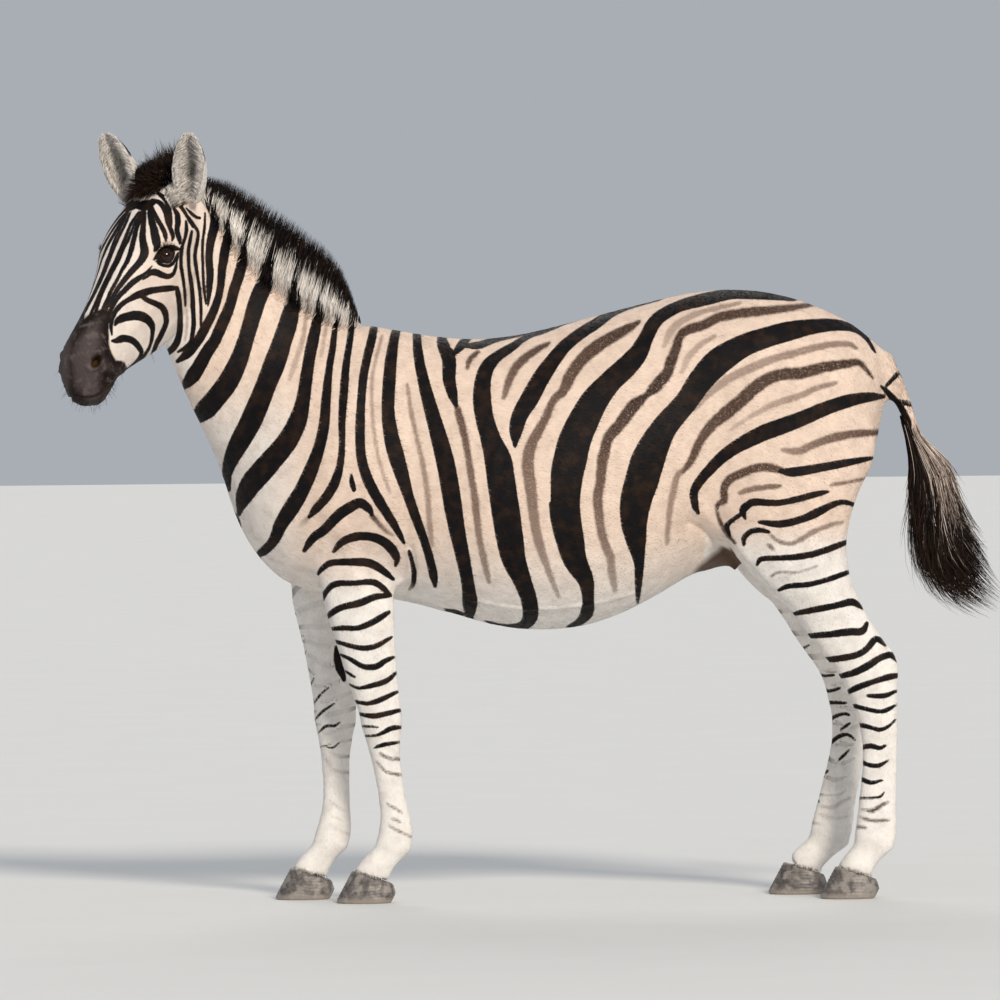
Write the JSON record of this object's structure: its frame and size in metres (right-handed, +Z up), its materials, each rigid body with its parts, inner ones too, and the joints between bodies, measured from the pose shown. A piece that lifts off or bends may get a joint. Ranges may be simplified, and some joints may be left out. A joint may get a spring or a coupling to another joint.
{
  "type": "zebra",
  "caption": "Life-size adult plains zebra mare standing still, head turned a little to its left, as a museum shows one.",
  "frame": {"origin": "centre of the whole model's footprint box, on the ground", "axes": "-X the way the body faces, -Y towards the zebra's left side, +Z up"},
  "size_m": [2.09, 0.6428, 1.7306],
  "materials": {
    "coat": "short flat coat, cream to white with black-brown stripes",
    "hair": "coarse upright and hanging hair, black-brown over white",
    "horn": "dull worn hoof horn, dusty",
    "eye": "wet dark brown eye",
    "skin": "bare dark skin, soft sheen"
  },
  "bodies": {
    "root": {"trunk": "coat", "neck": "coat", "head": "coat", "ear_left": "coat", "ear_right": "coat", "eye_left": "eye", "eye_right": "eye", "leg_front_left": "coat", "leg_front_right": "coat", "leg_hind_left": "coat", "leg_hind_right": "coat", "hoof_front_left": "horn", "hoof_front_right": "horn", "hoof_hind_left": "horn", "hoof_hind_right": "horn", "mane": "hair", "tail_dock": "coat", "tail_tuft": "hair", "udder": "skin"}
  },
  "joints": []
}
